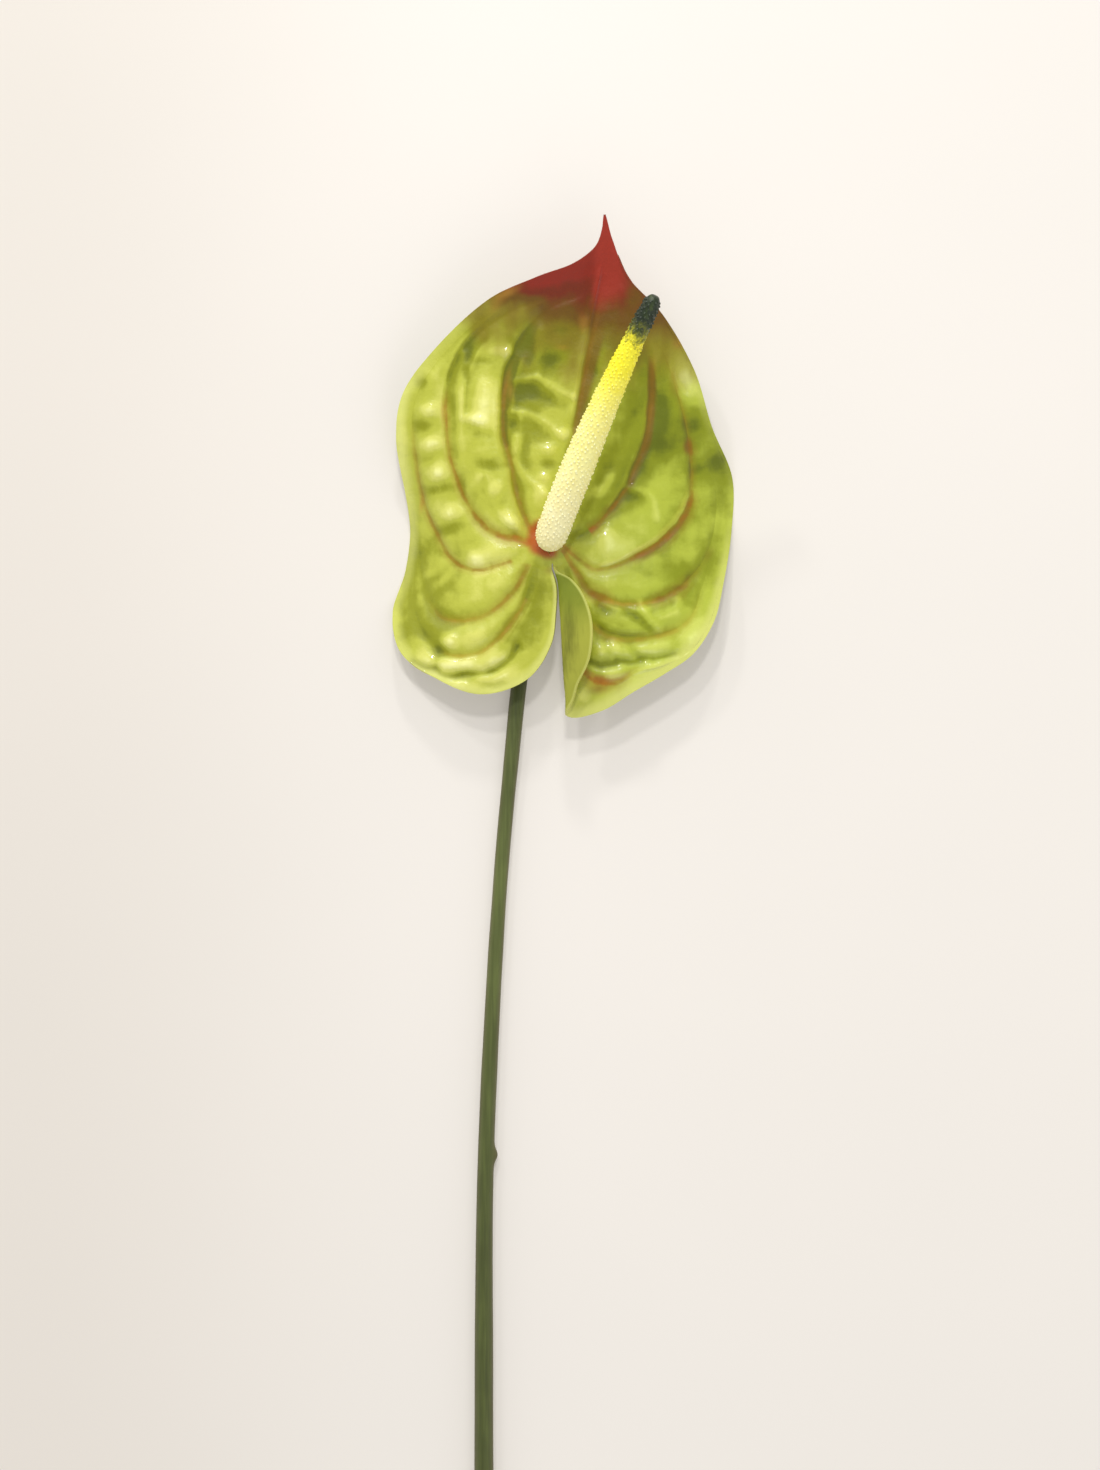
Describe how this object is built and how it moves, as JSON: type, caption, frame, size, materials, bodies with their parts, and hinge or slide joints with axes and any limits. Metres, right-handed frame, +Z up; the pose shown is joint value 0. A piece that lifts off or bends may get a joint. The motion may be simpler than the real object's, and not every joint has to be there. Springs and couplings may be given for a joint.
{
  "type": "cut anthurium stem",
  "caption": "Cut anthurium flower lying on its stalk: a waxy heart-shaped green spathe with a red tip, a floret-covered yellow spadix and a long, slender stalk.",
  "frame": {"origin": "middle of the footprint, on the surface that the flower lies on", "axes": "+Y from the cut end towards the spathe's tip, +X to the right as seen from above, +Z up, out of the spathe's face"},
  "size_m": [0.124, 0.572, 0.0636],
  "materials": {
    "stalk": "satin green, darker towards the flower, with faint lengthwise fibres",
    "spathe": "waxy yellow-green with red-brown veins and a red tip",
    "spadix": "matte cream to yellow, dark green at the end"
  },
  "bodies": {
    "root": {"peduncle": "stalk", "spathe": "spathe", "spadix": "spadix"}
  },
  "joints": []
}
